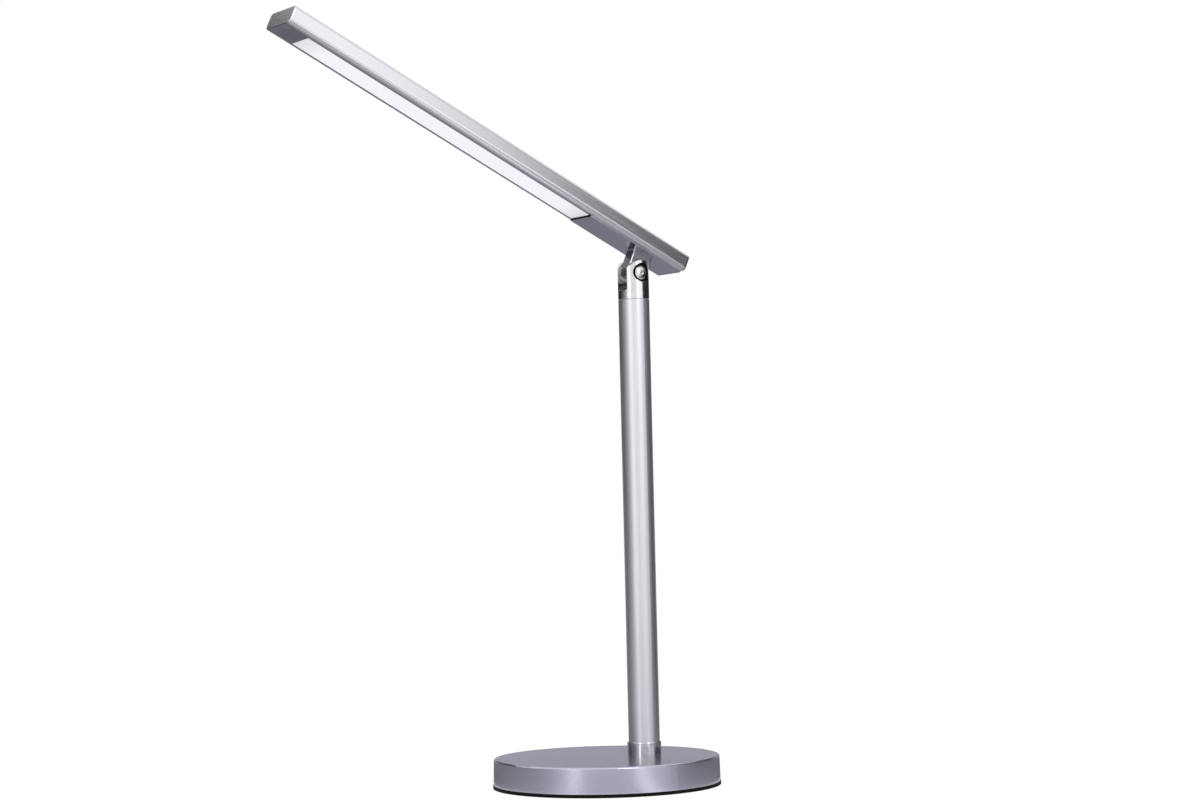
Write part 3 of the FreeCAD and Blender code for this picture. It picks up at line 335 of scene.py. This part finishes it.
# Grain is a pattern's size along x, y and z and relief its height, both in millimetres. Real flakes,
# brush lines and mould textures are finer: they are drawn as coarse as they need to be to show
finishes = {
    # sprayed metallic paint: a satin lilac-silver with fine flakes under a thin clear coat
    "silver_paint": {
        "name": "silverPaint", "colours": ("#C0BECF", "#C8C6D7"), "roughness": (0.22, 0.25),
        "metallic": 0.85, "edge": "#C0C0C0", "coat": 0.1,
        "cells": True, "grain": (0.35, 0.35, 0.35), "relief": 0.0003,
    },
    # extruded aluminium, anodised: a fine silk with faint lines along the bar
    "satin_aluminium": {
        "name": "satinAluminium", "colours": ("#D7D4DA", "#E1DEE4"), "roughness": (0.17, 0.24),
        "metallic": 0.95, "edge": "#E8E8E8",
        "grain": (0.5, 40.0, 0.5), "turn": barTilt, "relief": 0.001,
    },
    # drawn tube, brushed lengthwise and anodised: the highlights spread across the pole
    "brushed_aluminium": {
        "name": "brushedAluminium", "colours": ("#CCCAD0", "#DAD8DE"), "roughness": (0.41, 0.49),
        "metallic": 1.0, "edge": "#D8D8D8",
        "grain": (0.4, 0.4, 60.0), "relief": 0.002,
    },
    # nickel plate, polished and handled: a clear mirror under a light haze
    "polished_nickel": {
        "name": "polishedNickel", "colours": ("#D6D5D8", "#E0DFE2"), "roughness": (0.13, 0.18),
        "metallic": 1.0, "edge": "#FFFFFF",
        "grain": (3.0, 3.0, 3.0), "relief": 0.001,
    },
    # plated steel, tumbled: a duller grey than the fork round it
    "tongue_steel": {
        "name": "tumbledSteel", "colours": ("#B8B6BA", "#CCCACE"), "roughness": (0.20, 0.30),
        "metallic": 1.0, "edge": "#C0C0C0",
        "grain": (0.6, 0.6, 0.6), "relief": 0.003,
    },
    # aluminium strip, anodised blue-grey: smooth enough to mirror the hinge softly
    "grey_aluminium": {
        "name": "greyAluminium", "colours": ("#D3D4E2", "#DDDEEC"), "roughness": (0.18, 0.26),
        "metallic": 1.0, "edge": "#C8C8C8",
        "grain": (0.5, 40.0, 0.5), "turn": barTilt, "relief": 0.002,
    },
    # moulded rubber: matt black with a pebbled grip
    "black_rubber": {
        "name": "pebbledRubber", "colours": ("#040405", "#0B0B0C"), "roughness": (0.70, 0.88),
        "metallic": 0.0, "edge": "#FFFFFF", "specular": 0.15,
        "cells": True, "grain": (0.8, 0.8, 0.8), "relief": 0.08,
    },
    # grey iron from a sand mould: dark, dull and pitted
    "grey_iron": {
        "name": "castIron", "colours": ("#343436", "#505053"), "roughness": (0.55, 0.78),
        "metallic": 0.85, "edge": "#A0A0A0",
        "grain": (1.6, 1.6, 1.6), "relief": 0.15,
    },
    # zinc plate: pale blue-grey crystals that catch the light one by one
    "zinc_steel": {
        "name": "zincPlate", "colours": ("#A0A4A8", "#C2C5C8"), "roughness": (0.30, 0.46),
        "metallic": 1.0, "edge": "#E0E0E0",
        "cells": True, "grain": (2.2, 2.2, 2.2), "relief": 0.004,
    },
    # turned brass: warm yellow with fine rings from the lathe
    "brass": {
        "name": "turnedBrass", "colours": ("#B18B3C", "#D0AC5E"), "roughness": (0.22, 0.34),
        "metallic": 1.0, "edge": "#FFF0C8",
        "grain": (6.0, 6.0, 0.3), "relief": 0.004,
    },
    # glass-epoxy laminate: green solder mask with the weave just showing
    "board_laminate": {
        "name": "greenLaminate", "colours": ("#0B4A2B", "#15683F"), "roughness": (0.30, 0.45),
        "metallic": 0.0, "edge": "#FFFFFF",
        "cells": True, "grain": (1.4, 1.4, 1.4), "relief": 0.01,
    },
    # moulded nylon with glass: black with a fine spark-eroded texture
    "component_plastic": {
        "name": "mouldedBlack", "colours": ("#111112", "#1F1F21"), "roughness": (0.45, 0.62),
        "metallic": 0.0, "edge": "#FFFFFF",
        "grain": (0.4, 0.4, 0.4), "relief": 0.02,
    },
    # natural nylon: waxy cream, a little cloudy
    "nylon": {
        "name": "naturalNylon", "colours": ("#DAD6C8", "#ECE9DE"), "roughness": (0.40, 0.52),
        "metallic": 0.0, "edge": "#FFFFFF",
        "grain": (1.2, 1.2, 1.2), "relief": 0.006,
    },
    # extruded PVC: black with the soft ripple of the die
    "lead_sheath": {
        "name": "sheathPvc", "colours": ("#101011", "#1C1C1E"), "roughness": (0.32, 0.46),
        "metallic": 0.0, "edge": "#FFFFFF",
        "grain": (0.6, 3.0, 3.0), "relief": 0.02,
    },
    # white solder mask on an aluminium core: glossy, slightly uneven
    "led_board_white": {
        "name": "whiteMask", "colours": ("#E8E8E6", "#F6F6F4"), "roughness": (0.28, 0.40),
        "metallic": 0.0, "edge": "#FFFFFF",
        "grain": (2.0, 6.0, 2.0), "turn": barTilt, "relief": 0.008,
    },
    # thermal tape: a soft grey filled with pale powder
    "tape_grey": {
        "name": "thermalTape", "colours": ("#AEAEAC", "#C8C8C6"), "roughness": (0.70, 0.86),
        "metallic": 0.0, "edge": "#FFFFFF",
        "grain": (0.5, 0.5, 0.5), "relief": 0.02,
    },
    # phosphor gel: yellow grains in clear silicone
    "led_phosphor": {
        "name": "phosphorGel", "colours": ("#E0B640", "#F6DE86"), "roughness": (0.14, 0.24),
        "metallic": 0.0, "edge": "#FFFFFF",
        "cells": True, "grain": (0.3, 0.3, 0.3), "relief": 0.01,
    },
}


def makeFinish(look):
    # one grain gives the colour its spread, the gloss its unevenness and the surface its relief
    material, tree = newMaterial(look["name"])
    place = addNode(tree, "ShaderNodeTexCoord", {})
    grain = addNode(tree, "ShaderNodeMapping", {
        "Vector": place.outputs["Object"],
        "Rotation": (-math.radians(look.get("turn", 0)), 0, 0),
        "Scale": [size * mm for size in look["grain"]],
    }, vector_type="TEXTURE")
    if look.get("cells"):
        cells = addNode(tree, "ShaderNodeTexVoronoi", {"Vector": grain.outputs[0], "Scale": 1.0})
        pattern = cells.outputs["Color"]
    else:
        cloud = addNode(tree, "ShaderNodeTexNoise", {
            "Vector": grain.outputs[0], "Scale": 1.0, "Detail": grainDetail,
        })
        pattern = cloud.outputs[0]
    tint = addNode(tree, "ShaderNodeValToRGB", {"Fac": pattern})
    setStops(tint, list(zip(grainRange, look["colours"])))
    gloss = addNode(tree, "ShaderNodeMapRange", {
        "Value": pattern, "From Min": grainRange[0], "From Max": grainRange[1],
        "To Min": look["roughness"][0], "To Max": look["roughness"][1],
    })
    relief = addNode(tree, "ShaderNodeBump", {"Height": pattern, "Distance": look["relief"] * mm})
    shader = addNode(tree, "ShaderNodeBsdfPrincipled", {
        "Base Color": tint.outputs["Color"], "Roughness": gloss.outputs[0], "Normal": relief.outputs[0],
        "Metallic": look["metallic"], "Specular Tint": hexColour(look["edge"]),
        "Specular IOR Level": look.get("specular", 0.5), "Coat Weight": look.get("coat", 0.0),
    })
    setSurface(tree, shader)
    return material


opal = {
    "colour": "#F2F1F6",
    "roughness": 0.42,
    "glow": 0.70,               # painted light: the glow keeps the frosted strip white though it faces down into shade
    "paintedEndGlow": 0.50,
    "endFrom": 0.85,            # share of the half length where the ends begin to dim
    "grit": 0.35,               # mm, frosting that is coarser than the real one so that it shows
    "gritDetail": 2.0,
    "relief": 0.006,            # mm
}


def makeOpalAcrylic():
    # extruded opal acrylic, frosted: milky white, with painted light that keeps it white under the bar and
    # dims a little towards its ends
    low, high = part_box("diffuser")
    centre = [(a + b) / 2 for a, b in zip(low, high)]
    half = (high[1] - low[1]) / 2 / math.cos(math.radians(barTilt))
    material, tree = newMaterial("opalAcrylic")
    place = addNode(tree, "ShaderNodeTexCoord", {})
    along = addNode(tree, "ShaderNodeMapping", {
        "Vector": place.outputs["Object"], "Location": centre,
        "Rotation": (-math.radians(barTilt), 0, 0), "Scale": (half, half, half),
    }, vector_type="TEXTURE")
    split = addNode(tree, "ShaderNodeSeparateXYZ", {"Vector": along.outputs[0]})
    fromMiddle = addNode(tree, "ShaderNodeMath", {0: split.outputs["Y"]}, operation="ABSOLUTE")
    # painted light: the strip's glow, weaker towards its ends
    glow = addNode(tree, "ShaderNodeMapRange", {
        "Value": fromMiddle.outputs[0], "From Min": opal["endFrom"], "From Max": 1.0,
        "To Min": opal["glow"], "To Max": opal["paintedEndGlow"],
    })
    frost = addNode(tree, "ShaderNodeTexNoise", {
        "Vector": place.outputs["Object"], "Scale": 1 / (opal["grit"] * mm), "Detail": opal["gritDetail"],
    })
    relief = addNode(tree, "ShaderNodeBump", {"Height": frost.outputs[0], "Distance": opal["relief"] * mm})
    colour = hexColour(opal["colour"])
    shader = addNode(tree, "ShaderNodeBsdfPrincipled", {
        "Base Color": colour, "Roughness": opal["roughness"], "Normal": relief.outputs[0],
        "Emission Color": colour, "Emission Strength": glow.outputs[0],
    })
    setSurface(tree, shader)
    return material


slotMaterials = {slot: makeFinish(look) for slot, look in finishes.items()}
slotMaterials["opal_acrylic"] = makeOpalAcrylic()
for entry in frame["record"]["subparts"]:
    frame["nodes"][entry["node"]].data.materials[0] = slotMaterials[entry["material_slot"]]
print("materials made:", len(slotMaterials))
